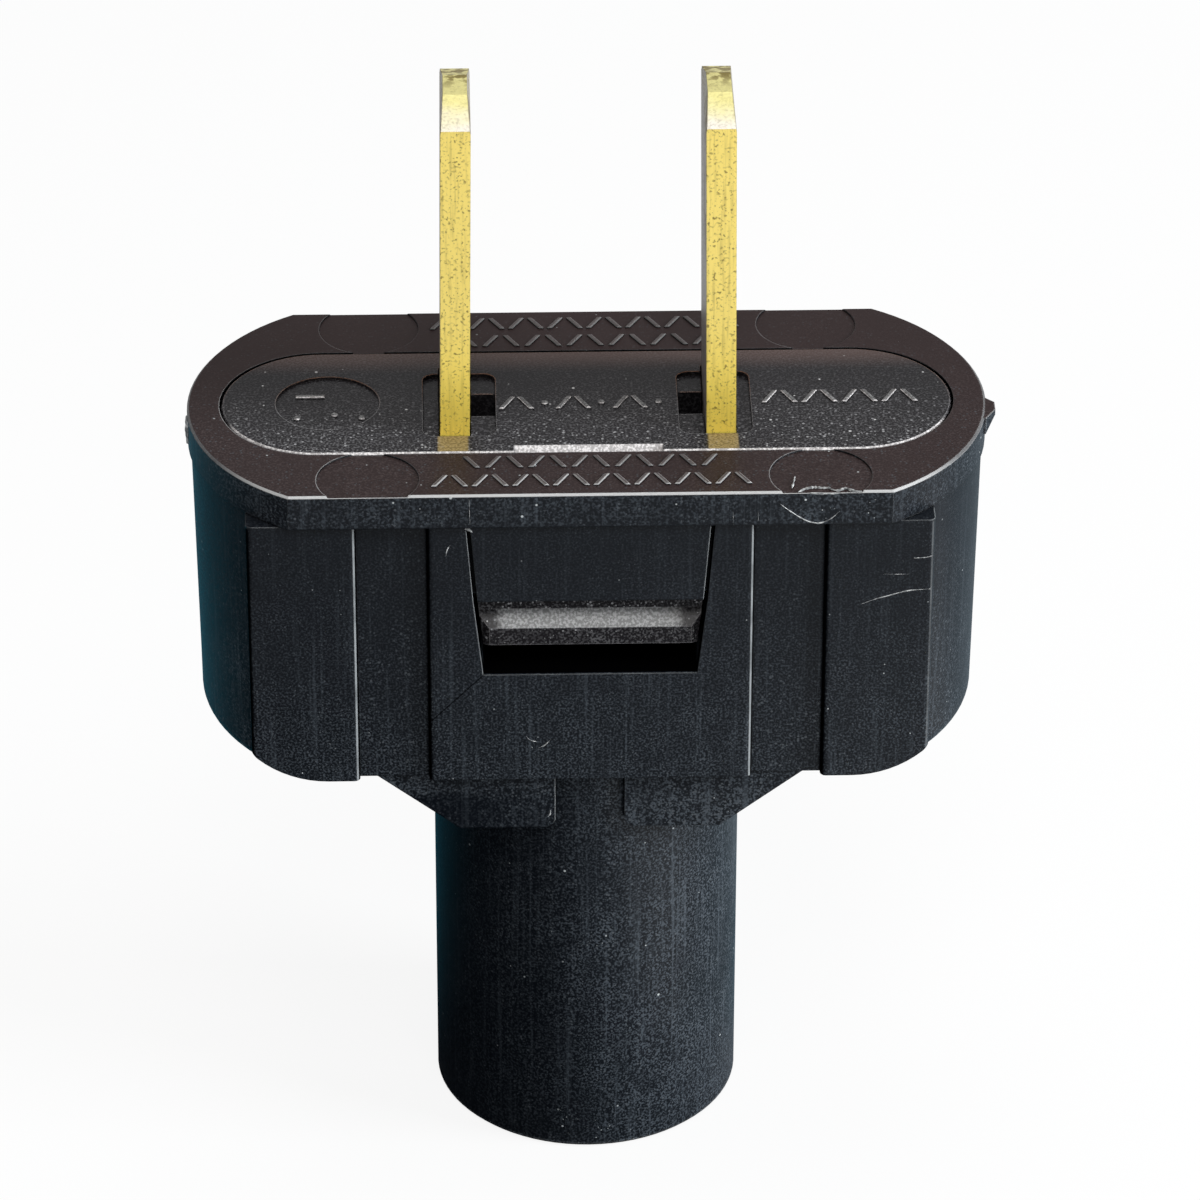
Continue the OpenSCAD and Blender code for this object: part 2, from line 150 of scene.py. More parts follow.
# pale floor, white surroundings and soft lamps
studioSettings = {
    "floorSize": 3.0,
    "floorColor": (0.86, 0.86, 0.86, 1),
    "floorWhite": 0.88,          # share of plain white that the camera sees in the floor
    "worldColor": (0.95, 0.98, 1.0, 1),
    "worldLevel": 0.22,
    "lamps": [
        # name, place in metres, size in metres, watts, colour
        ("frontPanel", (0.03, -0.28, 0.48), 0.2, 1.1, (1.0, 0.98, 0.96)),
        ("topPanel", (-0.02, 0.1, 0.6), 0.3, 0.8, (1.0, 0.97, 0.95)),
        ("rightPanel", (0.5, -0.14, 0.24), 0.22, 3.5, (0.93, 0.97, 1.0)),
    ],
    "lampAim": (0, 0, 0.03),
    "cardHeight": 0.0003,
    "cards": [
        # name, low and high corner in metres, colour in front at its left and right end, colour behind,
        # and whether it takes soft light away
        ("darkCard", (-0.12, -0.061), (0.012, 0.07), (0.010, 0.014, 0.02, 1), (0.34, 0.38, 0.42, 1),
         (0.03, 0.25, 0.36, 1), True),
        ("neckCard", (0.012, -0.009), (0.042, 0.012), (0.26, 0.33, 0.37, 1), (0.26, 0.33, 0.37, 1),
         (0.2, 0.28, 0.33, 1), False),
        ("greyCard", (0.012, 0.012), (0.12, 0.07), (0.3, 0.37, 0.41, 1), (0.3, 0.37, 0.41, 1),
         (0.3, 0.38, 0.43, 1), False),
    ],
}


def flatMaterial(name, shaderKind, values):
    material = bpy.data.materials.new(name)
    material.use_nodes = True
    tree = material.node_tree
    tree.nodes.clear()
    output = addNode(tree, "ShaderNodeOutputMaterial")
    shader = addNode(tree, shaderKind, values)
    tree.links.new(shader.outputs[0], output.inputs["Surface"])
    return material, tree, shader, output


def addFloor(settings):
    mesh = bpy.data.meshes.new("floor")
    shape = bmesh.new()
    bmesh.ops.create_circle(shape, cap_ends=True, segments=96, radius=settings["floorSize"] / 2)
    shape.to_mesh(mesh)
    shape.free()
    floor = bpy.data.objects.new("floor", mesh)
    scene.collection.objects.link(floor)
    material, tree, paper, output = flatMaterial("paleFloor", "ShaderNodeBsdfDiffuse",
                                                 {"Color": settings["floorColor"]})
    white = addNode(tree, "ShaderNodeEmission", {"Strength": 1.0})
    path = addNode(tree, "ShaderNodeLightPath")
    share = maths(tree, "MULTIPLY", path.outputs["Is Camera Ray"], settings["floorWhite"])
    mixed = addNode(tree, "ShaderNodeMixShader", {0: share, 1: paper.outputs[0], 2: white.outputs[0]})
    tree.links.new(mixed.outputs[0], output.inputs["Surface"])
    mesh.materials.append(material)


def addCard(name, low, high, leftColor, rightColor, backColor, soft, height):
    # a card on the floor that takes its white off the reflections
    middle = Vector(((low[0] + high[0]) / 2, (low[1] + high[1]) / 2, height))
    mesh = bpy.data.meshes.new(name)
    shape = bmesh.new()
    spread = Matrix.Translation(middle) @ Matrix.Diagonal((high[0] - low[0], high[1] - low[1], 1, 1))
    bmesh.ops.create_grid(shape, x_segments=1, y_segments=1, size=0.5, matrix=spread)
    shape.to_mesh(mesh)
    shape.free()
    card = bpy.data.objects.new(name, mesh)
    scene.collection.objects.link(card)
    card.visible_camera = False
    card.visible_shadow = False
    card.visible_diffuse = soft
    material, tree, cloth, output = flatMaterial(name + "Cloth", "ShaderNodeBsdfDiffuse", {})
    coords = addNode(tree, "ShaderNodeTexCoord").outputs["Object"]
    place = addNode(tree, "ShaderNodeSeparateXYZ", {0: coords}).outputs
    color = mixColor(tree, ramp(tree, place["X"], -0.012, high[0]), leftColor, rightColor)
    behind = ramp(tree, place["Y"], -0.002, 0.012)
    tree.links.new(mixColor(tree, behind, color, backColor), cloth.inputs["Color"])
    # seen from below it lets the floor's light through
    below = addNode(tree, "ShaderNodeNewGeometry").outputs["Backfacing"]
    clear = addNode(tree, "ShaderNodeBsdfTransparent")
    mixed = addNode(tree, "ShaderNodeMixShader", {0: below, 1: cloth.outputs[0], 2: clear.outputs[0]})
    tree.links.new(mixed.outputs[0], output.inputs["Surface"])
    mesh.materials.append(material)


def addWorld(settings):
    world = bpy.data.worlds.new("studio")
    scene.world = world
    world.use_nodes = True
    tree = world.node_tree
    tree.nodes.clear()
    output = addNode(tree, "ShaderNodeOutputWorld")
    soft = addNode(tree, "ShaderNodeBackground",
                   {"Color": settings["worldColor"], "Strength": settings["worldLevel"]})
    white = addNode(tree, "ShaderNodeBackground", {"Strength": 1.0})
    path = addNode(tree, "ShaderNodeLightPath").outputs
    seen = larger(tree, path["Is Camera Ray"], path["Is Transmission Ray"])
    seen = larger(tree, seen, path["Is Glossy Ray"])
    mixed = addNode(tree, "ShaderNodeMixShader", {0: seen, 1: soft.outputs[0], 2: white.outputs[0]})
    tree.links.new(mixed.outputs[0], output.inputs["Surface"])


def addLamps(settings):
    aim = Vector(settings["lampAim"])
    for name, place, size, watts, color in settings["lamps"]:
        data = bpy.data.lights.new(name, "AREA")
        data.size = size
        data.energy = watts
        data.color = color
        lamp = bpy.data.objects.new(name, data)
        lamp.location = place
        lamp.rotation_euler = (Vector(place) - aim).to_track_quat("Z", "Y").to_euler()
        scene.collection.objects.link(lamp)


addFloor(studioSettings)
for card in studioSettings["cards"]:
    addCard(*card, studioSettings["cardHeight"])
addWorld(studioSettings)
addLamps(studioSettings)
scene.view_settings.view_transform = "Standard"
print("studio lit")


# what all the finishes share
def startMaterial(name):
    material, tree, shader, output = flatMaterial(name, "ShaderNodeBsdfPrincipled", {})
    coords = addNode(tree, "ShaderNodeTexCoord").outputs["Object"]
    inMm = stretched(tree, coords, (1000, 1000, 1000))
    place = addNode(tree, "ShaderNodeSeparateXYZ", {0: inMm}).outputs
    normal = addNode(tree, "ShaderNodeNewGeometry").outputs["Normal"]
    facing = addNode(tree, "ShaderNodeSeparateXYZ", {0: normal}).outputs
    return material, tree, shader, inMm, place, facing


def finishSurface(tree, shader, color, roughness, height, strength, distance, normal=None):
    # colour, roughness and a fine bump, which all finishes end with
    tree.links.new(color, shader.inputs["Base Color"])
    tree.links.new(roughness, shader.inputs["Roughness"])
    values = {"Height": height, "Strength": strength, "Distance": distance * mm}
    if normal is not None:
        values["Normal"] = normal
    tree.links.new(addNode(tree, "ShaderNodeBump", values).outputs[0], shader.inputs["Normal"])


def edgeMask(tree, radius):
    # outer edges are found where the rounded normal leaves the flat one, inner corners by occlusion, which
    # gives a painted shade in the corners
    bevel = addNode(tree, "ShaderNodeBevel", {"Radius": radius}, samples=4).outputs[0]
    flat = addNode(tree, "ShaderNodeNewGeometry").outputs["Normal"]
    same = addNode(tree, "ShaderNodeVectorMath", {0: bevel, 1: flat}, operation="DOT_PRODUCT")
    turned = ramp(tree, maths(tree, "SUBTRACT", 1.0, same.outputs["Value"]), 0.02, 0.2)
    clear = addNode(tree, "ShaderNodeAmbientOcclusion", {"Distance": 2.2 * radius}, samples=4).outputs["AO"]
    outer = maths(tree, "MULTIPLY", turned, ramp(tree, clear, 0.72, 0.9))
    cornerShade = ramp(tree, clear, 0.75, 0.4)
    return outer, cornerShade, bevel


def speckMask(tree, vector, scale, size, share):
    # round specks of uneven size, in a share of the cells
    cells = addNode(tree, "ShaderNodeTexVoronoi", {"Vector": vector, "Scale": scale})
    chance = addNode(tree, "ShaderNodeSeparateColor", {"Color": cells.outputs["Color"]}).outputs
    picked = maths(tree, "LESS_THAN", chance["Red"], share)
    reach = maths(tree, "MULTIPLY", chance["Green"], size)
    spot = ramp(tree, maths(tree, "SUBTRACT", cells.outputs["Distance"], reach), 0.05, 0.0)
    return maths(tree, "MULTIPLY", picked, spot)


def patchMask(tree, inMm, places):
    # soft balls round a few places, each with its radius in mm
    result = None
    for x, y, z, radius in places:
        away = addNode(tree, "ShaderNodeVectorMath", {0: inMm, 1: (x, y, z)}, operation="DISTANCE")
        ball = ramp(tree, away.outputs["Value"], radius, radius * 0.3)
        result = ball if result is None else larger(tree, result, ball)
    return result


# black housing
housingFinish = {
    "color": (0.0032, 0.0046, 0.0072, 1),
    "topColor": (0.022, 0.0135, 0.0135, 1),
    "dust": (0.062, 0.074, 0.088, 1),
    "topDust": (0.085, 0.066, 0.066, 1),
    "salt": (0.075, 0.085, 0.096, 1),
    "speck": (0.5, 0.53, 0.54, 1),
    # worn edges and the rim's edge carry a painted highlight
    "edge": (0.34, 0.36, 0.37, 1),
    "rimEdgeHighlight": (0.46, 0.46, 0.46, 1),
    "black": (0.0006, 0.0006, 0.0008, 1),
    "roughness": (0.34, 0.5),
    "specular": 0.16,
    "topSpecular": 0.065,
    "bump": 0.02,
    "grain": 9.0,                      # per millimetre
    "edgeRadius": 0.1 * mm,
    "windowHalf": 5.2,                 # half width of the sill under each latch
    # thin line from a window's corner
    "knitLine": (-4.95, faceZ - 10.03, -7.85, faceZ - 13.01),
    # scuffed places in mm, with their radius
    "scuffs": [(13.3, -flatY, 37.8, 1.1), (11.0, -flatY, 37.9, 0.7), (-2.3, -padY, 24.9, 1.0),
               (-13.6, -padY, 19.5, 1.9), (-12.2, -padY, 24.5, 1.0), (15.3, -padY, 20.0, 1.7),
               (0.9, -7.4, 0.3, 1.9), (-1.3, -7.5, 1.6, 1.0), (-7.2, -padY, 18.6, 0.9),
               (-8.4, -flatY, 37.7, 1.3), (-2.5, -flangeY, 19.5, 0.8), (5.6, -5.3, 8.0, 0.7),
               (0.3, -7.5, 13.0, 1.0)],
}


def housingMaterial(settings, name="housingPlastic"):
    material, tree, shader, inMm, place, facing = startMaterial(name)
    outer, cornerShade, rounded = edgeMask(tree, settings["edgeRadius"])
    grain = noise(tree, inMm, settings["grain"], 2.0)
    cloud = noise(tree, inMm, 0.16, 3.0)
    patches = noise(tree, inMm, 0.7, 3.0)
    streak = noise(tree, stretched(tree, inMm, (5.0, 5.0, 0.12)), 1.0, 3.0)
    up = multiply(tree, ramp(tree, facing["Z"], 0.6, 0.95), ramp(tree, place["Z"], faceZ - 1.2, faceZ - 0.6))
    # the face of the rim is browner than the sides, and darker at the back
    base = mixColor(tree, up, settings["color"], settings["topColor"])
    dust = mixColor(tree, up, settings["dust"], settings["topDust"])
    # fine dust in patches and upright lines, thicker on the band and low down, thinner on the neck's left;
    # its mask also carries painted shade under the band and on the neck's left
    # painted shade just under the band, fading out towards the bottom
    low = ramp(tree, place["Z"], faceZ - 2, faceZ - 17, 0.24, 1.0)
    band = ramp(tree, place["Z"], faceZ - 1.9, faceZ - 1.6, 0.0, 0.75)
    left = ramp(tree, place["X"], -8.0, 5.0, 0.75, -0.35)
    onNeck = ramp(tree, place["Z"], faceZ - 17.0, faceZ - 17.8)
    # painted shade on the neck's left, away from the light that comes from the right
    neckLeftShade = maths(tree, "SUBTRACT", 1.0, multiply(tree, left, onNeck))
    forward = ramp(tree, place["Y"], 8.0, -4.0, 0.3, 1.0)
    dustAndShade = multiply(tree, larger(tree, low, band), ramp(tree, up, 0.0, 1.0, 1.0, 0.7), forward, neckLeftShade)
    share = multiply(tree, ramp(tree, grain, 0.44, 0.66), ramp(tree, patches, 0.3, 0.7, 0.6, 1.0),
                     ramp(tree, cloud, 0.3, 0.7, 0.7, 1.0), dustAndShade)
    lines = multiply(tree, ramp(tree, streak, 0.52, 0.75, 0.0, 0.4), dustAndShade)
    share = maths(tree, "ADD", share, lines, True)
    dustyAndShaded = mixColor(tree, share, base, dust)
    salt = speckMask(tree, inMm, 5.5, 0.34, 0.6)
    salted = mixColor(tree, multiply(tree, salt, dustAndShade, ramp(tree, patches, 0.35, 0.6, 0.35, 1.0)), dustyAndShaded,
                      settings["salt"])
    # white specks, thick where the plastic is scuffed
    fine = multiply(tree, speckMask(tree, inMm, 3.4, 0.2, 0.75), patchMask(tree, inMm, settings["scuffs"]))
    single = multiply(tree, speckMask(tree, inMm, 1.5, 0.075, 0.22), ramp(tree, dustAndShade, 0.2, 0.8, 0.3, 1.0))
    specked = mixColor(tree, larger(tree, fine, single), salted, settings["speck"])
    # painted shade on the steps between the panels, black where they face away from the light, with a painted
    # highlight line where they turn to the light
    panel = multiply(tree, ramp(tree, absolute(tree, place["Y"]), 7.4, 7.6),
                     ramp(tree, place["Z"], faceZ - 1.8, faceZ - 2.0))
    inside = ramp(tree, absolute(tree, place["X"]), 15.0, 14.5)
    leftward = ramp(tree, facing["X"], -0.25, -0.7)
    rightward = ramp(tree, facing["X"], 0.72, 0.85)
    shaded = multiply(tree, larger(tree, leftward, multiply(tree, rightward, inside)), panel)
    stepped = mixColor(tree, shaded, specked, settings["black"])
    turningHighlight = multiply(tree, ramp(tree, facing["X"], 0.42, 0.52), ramp(tree, facing["X"], 0.8, 0.72), panel,
                       ramp(tree, patches, 0.3, 0.6, 0.4, 0.75), ramp(tree, inside, 0.0, 1.0, 0.25, 1.0))
    # worn edges with a painted highlight on the right of each panel, where the light comes from, brightest
    # round the face, and none on what faces down; edges that face down get painted shade
    atFace = ramp(tree, place["Z"], faceZ - 0.6, faceZ - 0.1)
    edgeHighlightColor = mixColor(tree, atFace, settings["edge"], settings["rimEdgeHighlight"])
    turn = addNode(tree, "ShaderNodeSeparateXYZ", {0: rounded}).outputs
    wearAndHighlight = multiply(tree, outer, ramp(tree, patches, 0.35, 0.6, 0.65, 1.0),
                    ramp(tree, turn["X"], -0.2, 0.3, 0.15, 1.0),
                    ramp(tree, place["Y"], 8.0, -2.0, 0.35, 1.0), ramp(tree, turn["Z"], -0.4, -0.1))
    eased = multiply(tree, ramp(tree, facing["Z"], 0.3, 0.5), ramp(tree, facing["Z"], 0.95, 0.85))
    rimChamferHighlight = multiply(tree, larger(tree, maths(tree, "MULTIPLY", outer, 0.3), eased), atFace,
                       ramp(tree, place["Y"], -5.0, -8.5, 0.2, 1.0))
    wearAndHighlight = larger(tree, larger(tree, wearAndHighlight, turningHighlight), rimChamferHighlight)
    edgeHighlighted = mixColor(tree, wearAndHighlight, stepped, edgeHighlightColor)
    # painted shade on edges that face down
    undersideShade = multiply(tree, outer, ramp(tree, turn["Z"], -0.1, -0.4, 0.0, 0.8))
    edgeHighlighted = mixColor(tree, undersideShade, edgeHighlighted, settings["black"])
    # painted shade on the sill under each latch, which lies in the barb's shadow, and a knit line
    sillShade = multiply(tree, ramp(tree, facing["Z"], 0.5, 0.8), ramp(tree, place["Z"], faceZ - 8.0, faceZ - 8.5),
                    ramp(tree, absolute(tree, place["X"]), settings["windowHalf"] + 0.3,
                         settings["windowHalf"]),
                    ramp(tree, absolute(tree, place["Y"]), padY - 0.08, padY - 0.14))
    x0, z0, x1, z1 = settings["knitLine"]
    slope = (x0 - x1) / (z0 - z1)
    offLine = maths(tree, "SUBTRACT", maths(tree, "SUBTRACT", place["X"], x0),
                    maths(tree, "MULTIPLY", maths(tree, "SUBTRACT", place["Z"], z0), slope))
    knit = multiply(tree, ramp(tree, absolute(tree, offLine), 0.08, 0.02, 0.0, 0.75),
                    ramp(tree, place["Y"], -7.9, -8.1), ramp(tree, place["Z"], z1 - 0.3, z1),
                    ramp(tree, place["Z"], z0, z0 - 0.05))
    # painted shade in the sill and the inner corners, together with the dark knit line
    hidden = larger(tree, larger(tree, sillShade, knit), cornerShade)
    dark = mixColor(tree, hidden, edgeHighlighted, settings["black"])
    shine = ramp(tree, up, 0.0, 1.0, settings["specular"], settings["topSpecular"])
    # painted shade also takes the shine off the dark and shaded places and the neck's left
    shine = multiply(tree, shine, ramp(tree, larger(tree, hidden, shaded), 0.0, 1.0, 1.0, 0.03), neckLeftShade)
    tree.links.new(shine, shader.inputs["Specular IOR Level"])
    rough = ramp(tree, grain, 0.3, 0.7, *settings["roughness"])
    finishSurface(tree, shader, dark, rough, grain, 0.12, settings["bump"], rounded)
    return material


# dark grey carrier
carrierFinish = {
    "color": (0.0105, 0.0096, 0.011, 1),
    "grains": (0.13, 0.128, 0.135, 1),
    "salt": (0.34, 0.34, 0.35, 1),
    "speck": (0.5, 0.5, 0.5, 1),
    "warm": (0.13, 0.085, 0.075, 1),
    "brassReflection": (0.30, 0.225, 0.10, 1),
    "feet": [(-6.45, -3.95), (6.42, -3.95)],    # where a painted reflection of the brass lies in front of the blades, in mm
    # painted highlight on the edges, and a painted warm reflection on those at the back
    "edge": (0.42, 0.41, 0.42, 1),
    "warmEdgeReflection": (0.42, 0.21, 0.12, 1),
    # painted highlights on the slopes that face the light, dark and pale by grain
    "slope": ((0.4, 0.38, 0.38, 1), (0.8, 0.77, 0.77, 1)),
    "barb": ((0.17, 0.17, 0.17, 1), (0.36, 0.36, 0.36, 1)),
    "black": (0.0008, 0.0008, 0.0009, 1),
    "roughness": (0.2, 0.34),
    "specular": 0.095,
    "hiddenSpecular": 0.004,
    "bump": 0.02,
    "grain": 8.0,
    "edgeRadius": 0.09 * mm,
}


def carrierMaterial(settings, name="carrierPlastic"):
    material, tree, shader, inMm, place, facing = startMaterial(name)
    outer, cornerShade, rounded = edgeMask(tree, settings["edgeRadius"])
    grain = noise(tree, inMm, settings["grain"], 2.0)
    coarse = noise(tree, inMm, 3.0, 3.0)
    cloud = noise(tree, inMm, 0.22, 3.0)
    # scuffed grains get denser towards the front edge
    front = multiply(tree, ramp(tree, place["Y"], 2.5, -4.6, 0.22, 1.0),
                     ramp(tree, place["Z"], faceZ - 4, faceZ - 2, 0.65, 1.0))
    share = multiply(tree, ramp(tree, grain, 0.46, 0.62), front, ramp(tree, coarse, 0.35, 0.6, 0.4, 1.0),
                     ramp(tree, cloud, 0.3, 0.65, 0.6, 1.0))
    speckled = mixColor(tree, share, settings["color"], settings["grains"])
    salt = multiply(tree, speckMask(tree, inMm, 5.0, 0.34, 0.6), ramp(tree, place["Y"], 1.5, -4.6, 0.08, 1.0),
                    ramp(tree, coarse, 0.35, 0.6, 0.5, 1.0))
    speckled = mixColor(tree, salt, speckled, settings["salt"])
    specks = speckMask(tree, inMm, 1.6, 0.1, 0.22)
    speckled = mixColor(tree, specks, speckled, settings["speck"])
    # painted reflection of the brass on the plastic at the feet of the blades
    top = ramp(tree, facing["Z"], 0.6, 0.9)
    for x, y in settings["feet"]:
        across = ramp(tree, absolute(tree, maths(tree, "SUBTRACT", place["X"], x)), 0.78, 0.66)
        along = ramp(tree, absolute(tree, maths(tree, "SUBTRACT", place["Y"], y)), 0.85, 0.75)
        bladeReflection = multiply(tree, across, along, top, ramp(tree, place["Z"], faceZ - 1.0, faceZ - 0.5),
                       ramp(tree, grain, 0.35, 0.6, 0.55, 0.95))
        speckled = mixColor(tree, bladeReflection, speckled, settings["brassReflection"])
    # warm band along the back edge
    onFace = ramp(tree, place["Z"], faceZ - 1.5, faceZ - 1.0)
    back = multiply(tree, ramp(tree, place["Y"], 2.6, 4.6, 0.0, 0.5), onFace)
    warmed = mixColor(tree, back, speckled, settings["warm"])
    # painted highlight along the outer edges, with a painted warm reflection on those towards the back
    warmReflectionAtBack = multiply(tree, ramp(tree, place["Y"], -1.0, 2.5), onFace)
    edgeHighlightColor = mixColor(tree, warmReflectionAtBack, settings["edge"], settings["warmEdgeReflection"])
    edgeHighlighted = mixColor(tree, multiply(tree, outer, 0.85), warmed, edgeHighlightColor)
    # painted highlight on the slope for prying and the slopes of the two barbs, which face the light
    rough = ramp(tree, grain, 0.42, 0.62)
    sloping = multiply(tree, ramp(tree, absolute(tree, facing["Y"]), 0.25, 0.4),
                       ramp(tree, facing["Z"], 0.25, 0.4))
    atFace = multiply(tree, sloping, ramp(tree, place["Z"], faceZ - 2.0, faceZ - 1.6))
    onBarb = multiply(tree, sloping, ramp(tree, place["Z"], faceZ - 4.0, faceZ - 5.0),
                      ramp(tree, maths(tree, "ADD", absolute(tree, place["X"]), coarse), 5.1, 4.5))
    edgeHighlighted = mixColor(tree, atFace, edgeHighlighted, mixColor(tree, rough, *settings["slope"]))
    edgeHighlighted = mixColor(tree, onBarb, edgeHighlighted, mixColor(tree, rough, *settings["barb"]))
    # painted shade: the inside of the latches is never seen lit, and what faces down near the face and the
    # inner corners are darkened too, with less shine
    deep = multiply(tree, ramp(tree, place["Z"], faceZ - 1.6, faceZ - 2.0),
                    ramp(tree, absolute(tree, place["Y"]), 5.6, 5.3))
    under = multiply(tree, ramp(tree, facing["Z"], -0.5, -0.8),
                     ramp(tree, place["Z"], faceZ - 1.0, faceZ - 1.5))
    hidden = larger(tree, cornerShade, larger(tree, deep, under))
    dark = mixColor(tree, hidden, edgeHighlighted, settings["black"])
    shine = ramp(tree, hidden, 0.0, 1.0, settings["specular"], settings["hiddenSpecular"])
    tree.links.new(shine, shader.inputs["Specular IOR Level"])
    finishSurface(tree, shader, dark, ramp(tree, grain, 0.3, 0.7, *settings["roughness"]), grain, 0.2,
                  settings["bump"], rounded)
    return material


# stamped brass
brassFinish = {
    "color": (0.96, 0.75, 0.185, 1),
    "foot": (1.0, 0.76, 0.125, 1),
    "pale": (0.68, 0.62, 0.245, 1),
    "noseHighlight": (0.72, 0.68, 0.6, 1),
    "side": (0.24, 0.215, 0.205, 1),
    "stain": (0.12, 0.08, 0.015, 1),
    "roughness": (0.34, 0.5),
    "metallic": 0.25,
    "specular": 0.5,
    "stainSpecular": 0.08,
    "bump": 0.02,
    "edgeRadius": 0.07 * mm,
}


def brassMaterial(settings):
    material, tree, shader, inMm, place, facing = startMaterial("brass")
    outer, cornerShade, rounded = edgeMask(tree, settings["edgeRadius"])
    grain = noise(tree, inMm, 7.0, 3.0)
    coarse = noise(tree, inMm, 2.2, 4.0)
    brushed = noise(tree, stretched(tree, inMm, (7.0, 7.0, 0.4)), 1.0, 3.0)
    tarnish = noise(tree, inMm, 0.9, 3.0)
    # the two wide sides are greyer, with dark stains half way up
    sides = ramp(tree, absolute(tree, facing["X"]), 0.6, 0.9)
    golden = mixColor(tree, ramp(tree, place["Z"], faceZ + 7, faceZ + 1), settings["color"], settings["foot"])
    base = mixColor(tree, sides, golden, settings["side"])
    # the end slopes back: pale at its front edge as a painted highlight, then yellow, with brown stains
    # towards the back
    end = multiply(tree, ramp(tree, facing["Z"], 0.1, 0.25), ramp(tree, place["Z"], tipZ - 2.5, tipZ - 2.1))
    uneven = maths(tree, "ADD", place["Y"], maths(tree, "MULTIPLY", tarnish, 1.6))
    endColor = mixColor(tree, ramp(tree, uneven, -2.6, -0.4), settings["noseHighlight"], settings["pale"])
    base = mixColor(tree, end, base, endColor)
    streaked = mixColor(tree, ramp(tree, brushed, 0.45, 0.8, 0.0, 0.35), base, settings["stain"])
    lower = ramp(tree, end, 0.0, 1.0, 1.0, 0.2)
    spots = multiply(tree, ramp(tree, grain, 0.54, 0.66, 0.0, 0.8), lower,
                     ramp(tree, coarse, 0.4, 0.6, 0.35, 1.0))
    spotted = mixColor(tree, spots, streaked, settings["stain"])
    drips = noise(tree, stretched(tree, inMm, (1.0, 1.3, 0.45)), 1.0, 3.0)
    blots = multiply(tree, sides, ramp(tree, drips, 0.43, 0.5, 0.0, 0.9),
                     ramp(tree, place["Z"], tipZ - 9.0, tipZ - 7.0),
                     ramp(tree, place["Y"], 0.5, -2.0, 0.2, 1.0))
    stained = multiply(tree, end, ramp(tree, place["Y"], -0.9, 0.9),
                       ramp(tree, coarse, 0.42, 0.56, 0.0, 0.85))
    outlined = maths(tree, "MULTIPLY", outer, 0.5)
    # a stain is dull and doesn't mirror the room
    dull = larger(tree, larger(tree, stained, outlined), blots)
    aged = mixColor(tree, dull, spotted, settings["stain"])
    tree.links.new(ramp(tree, dull, 0.0, 1.0, settings["metallic"], 0.0), shader.inputs["Metallic"])
    tree.links.new(ramp(tree, dull, 0.0, 1.0, settings["specular"], settings["stainSpecular"]),
                   shader.inputs["Specular IOR Level"])
    finishSurface(tree, shader, aged, ramp(tree, grain, 0.3, 0.7, *settings["roughness"]), grain, 0.25,
                  settings["bump"], rounded)
    return material


# plastic torn up white along scratches and burrs
scuffFinish = {
    "color": (0.16, 0.165, 0.17, 1),
    "bright": (0.55, 0.56, 0.56, 1),
    "roughness": (0.7, 0.45),
    "bump": 0.03,
}


def scuffMaterial(settings):
    material, tree, shader, inMm, place, facing = startMaterial("scuffedPlastic")
    grain = noise(tree, inMm, 4.0, 3.0)
    color = mixColor(tree, ramp(tree, grain, 0.4, 0.65), settings["color"], settings["bright"])
    finishSurface(tree, shader, color, ramp(tree, grain, 0.3, 0.7, *settings["roughness"]), grain, 0.5,
                  settings["bump"])
    return material


def paint(nodeNames, material):
    for name in nodeNames:
        mesh = nodes[name].data
        mesh.materials.clear()
        mesh.materials.append(material)


housingPlastic = housingMaterial(housingFinish)
carrierPlastic = carrierMaterial(carrierFinish)
# the raised marks are painted lighter than what they stand on, as a painted highlight
highlitMarkHousingFinish = {
    **housingFinish,
    "color": (0.04, 0.038, 0.038, 1),
    "topColor": (0.085, 0.075, 0.075, 1),
    "rimEdgeHighlight": (0.5, 0.5, 0.5, 1),
}
highlitMarkCarrierFinish = {
    **carrierFinish,
    "color": (0.09, 0.09, 0.09, 1),
    "grains": (0.4, 0.4, 0.4, 1),
}
highlitMarkHousing = housingMaterial(highlitMarkHousingFinish, "highlitMarkHousing")
highlitMarkCarrier = carrierMaterial(highlitMarkCarrierFinish, "highlitMarkCarrier")
brass = brassMaterial(brassFinish)
scuffed = scuffMaterial(scuffFinish)
paint(["shell"], housingPlastic)
paint(["carrier"], carrierPlastic)
paint(["left_blade", "right_blade", "left_terminal_screw", "right_terminal_screw"], brass)
print("finishes made")


# helpers for new pieces
sunkBy = 0.03    # how deep a raised detail reaches into what it stands on, in mm


def addPiece(name, shape, material):
    bmesh.ops.recalc_face_normals(shape, faces=shape.faces)
    mesh = bpy.data.meshes.new(name)
    shape.to_mesh(mesh)
    shape.free()
    mesh.materials.append(material)
    piece = bpy.data.objects.new(name, mesh)
    scene.collection.objects.link(piece)
    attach(piece, "root")
    return piece


def smoothPath(points, steps):
    # a soft curve through a few points
    points = [Vector(point) for point in points]
    padded = [2 * points[0] - points[1]] + points + [2 * points[-1] - points[-2]]
    path = []
    for index in range(1, len(padded) - 2):
        before, start, end, after = padded[index - 1:index + 3]
        for step in range(steps):
            t = step / steps
            linear = (end - before) * t
            square = (2 * before - 5 * start + 4 * end - after) * t ** 2
            cube = (3 * start - before - 3 * end + after) * t ** 3
            path.append(0.5 * (2 * start + linear + square + cube))
    path.append(points[-1])
    return path


def ridgeTurn(place, ahead, normal, width, height):
    # lays a ring of three corners across the path, with one corner on top
    side = ahead.cross(normal).normalized() * width / math.sqrt(3)
    rise = normal * (height + sunkBy) / 1.5
    middle = (place - normal * sunkBy + rise / 2) * mm
    turn = Matrix((side * mm, rise * mm, ahead.normalized() * mm)).transposed().to_4x4()
    return Matrix.Translation(middle) @ turn


